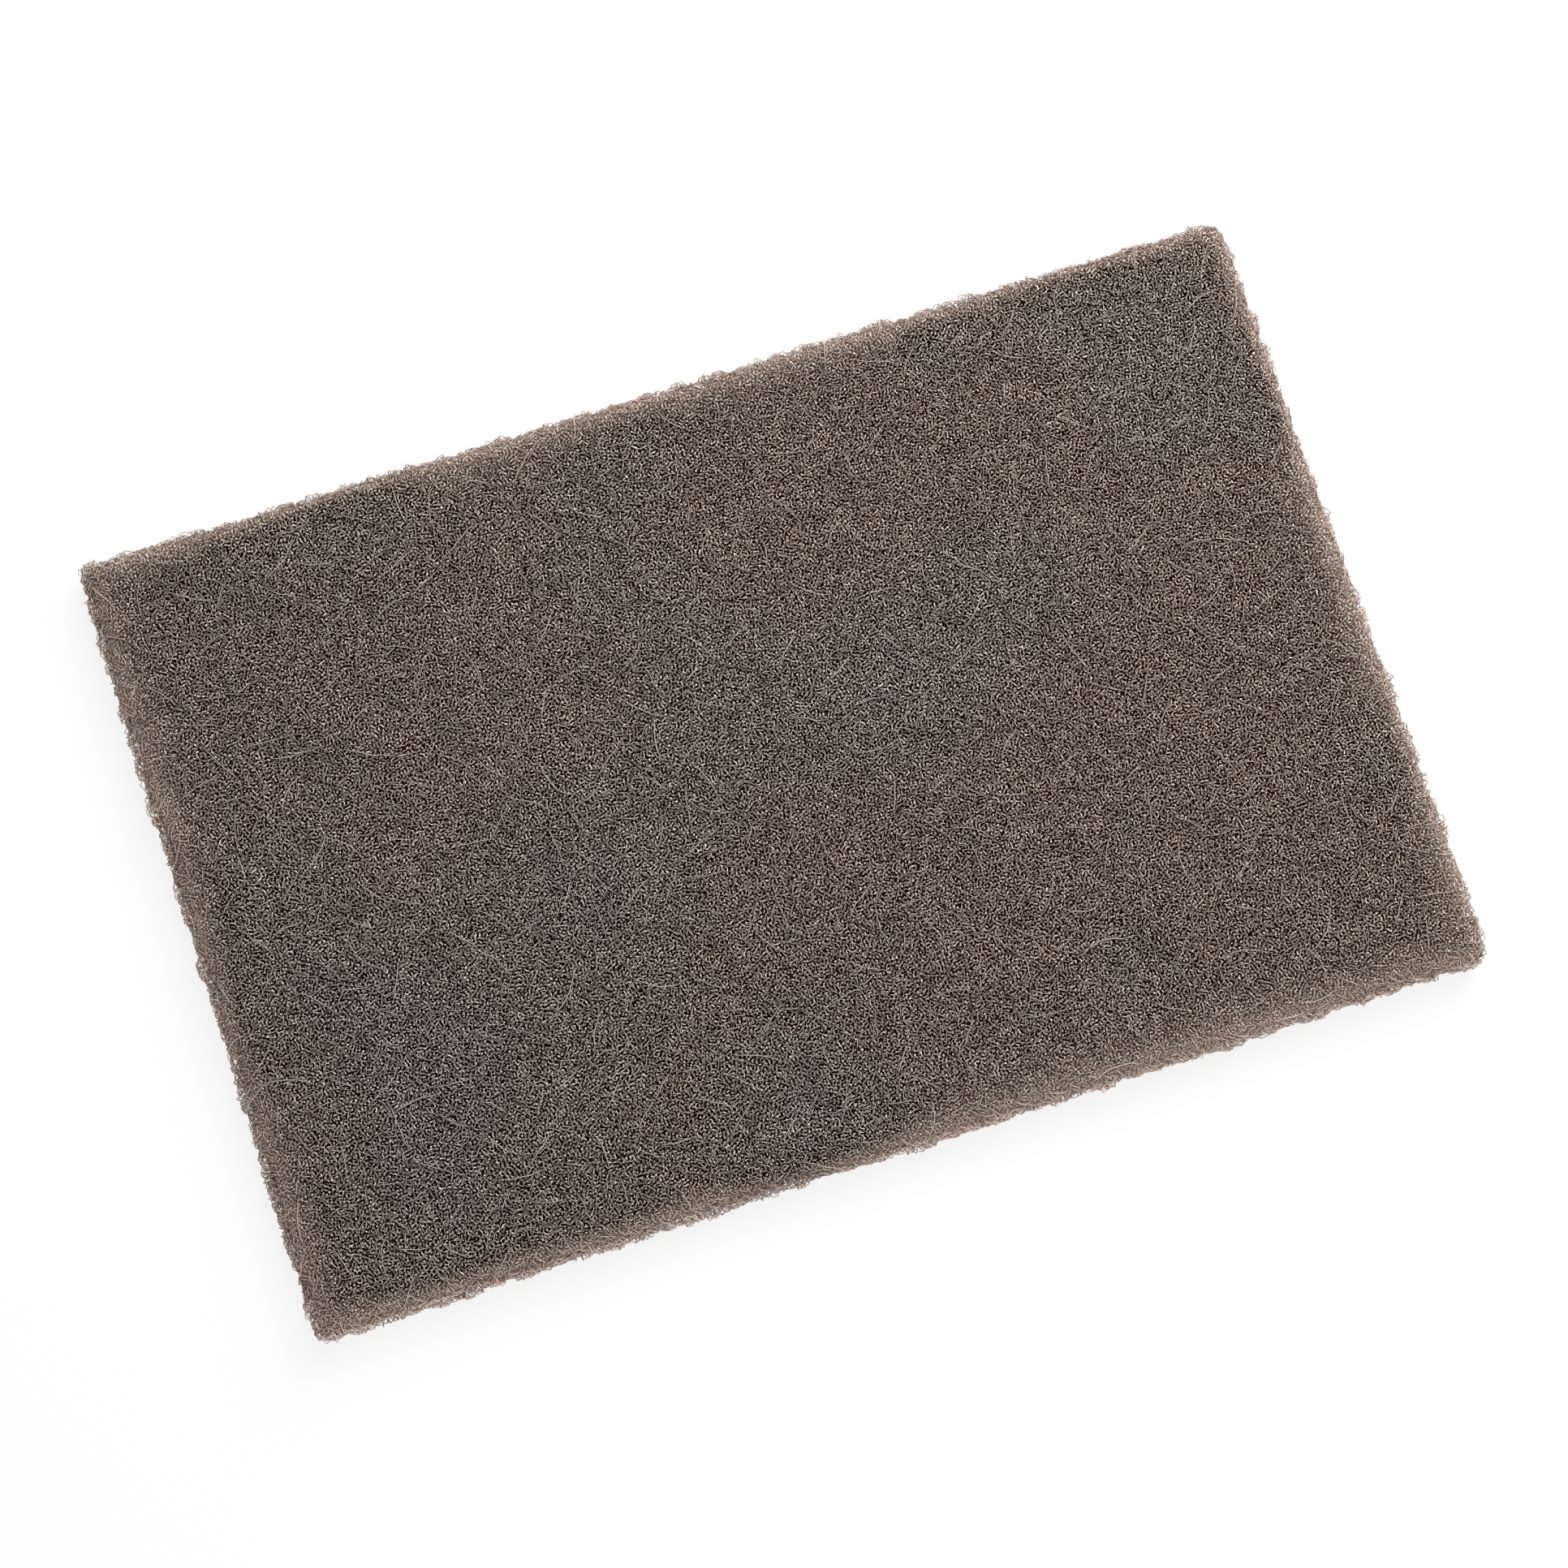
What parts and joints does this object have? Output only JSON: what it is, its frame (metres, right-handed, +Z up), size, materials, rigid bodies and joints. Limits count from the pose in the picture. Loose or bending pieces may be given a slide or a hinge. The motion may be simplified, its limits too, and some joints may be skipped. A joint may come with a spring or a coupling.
{
  "type": "abrasive hand pad",
  "caption": "Flat rectangular pad of matted abrasive fibre with frayed cut edges, rubbed by hand to scuff, clean or blend a surface.",
  "frame": {"origin": "under the middle of the pad, on the plane that it lies on", "axes": "+X along the long side, +Y along the short side, +Z up through the pad's thickness"},
  "size_m": [0.2286, 0.1524, 0.009],
  "materials": {
    "fibre": "open tangle of crimped, resin-coated fibres, dull, with dark gaps and a paler frayed rim"
  },
  "bodies": {
    "root": {"hand_pad": "fibre"}
  },
  "joints": []
}
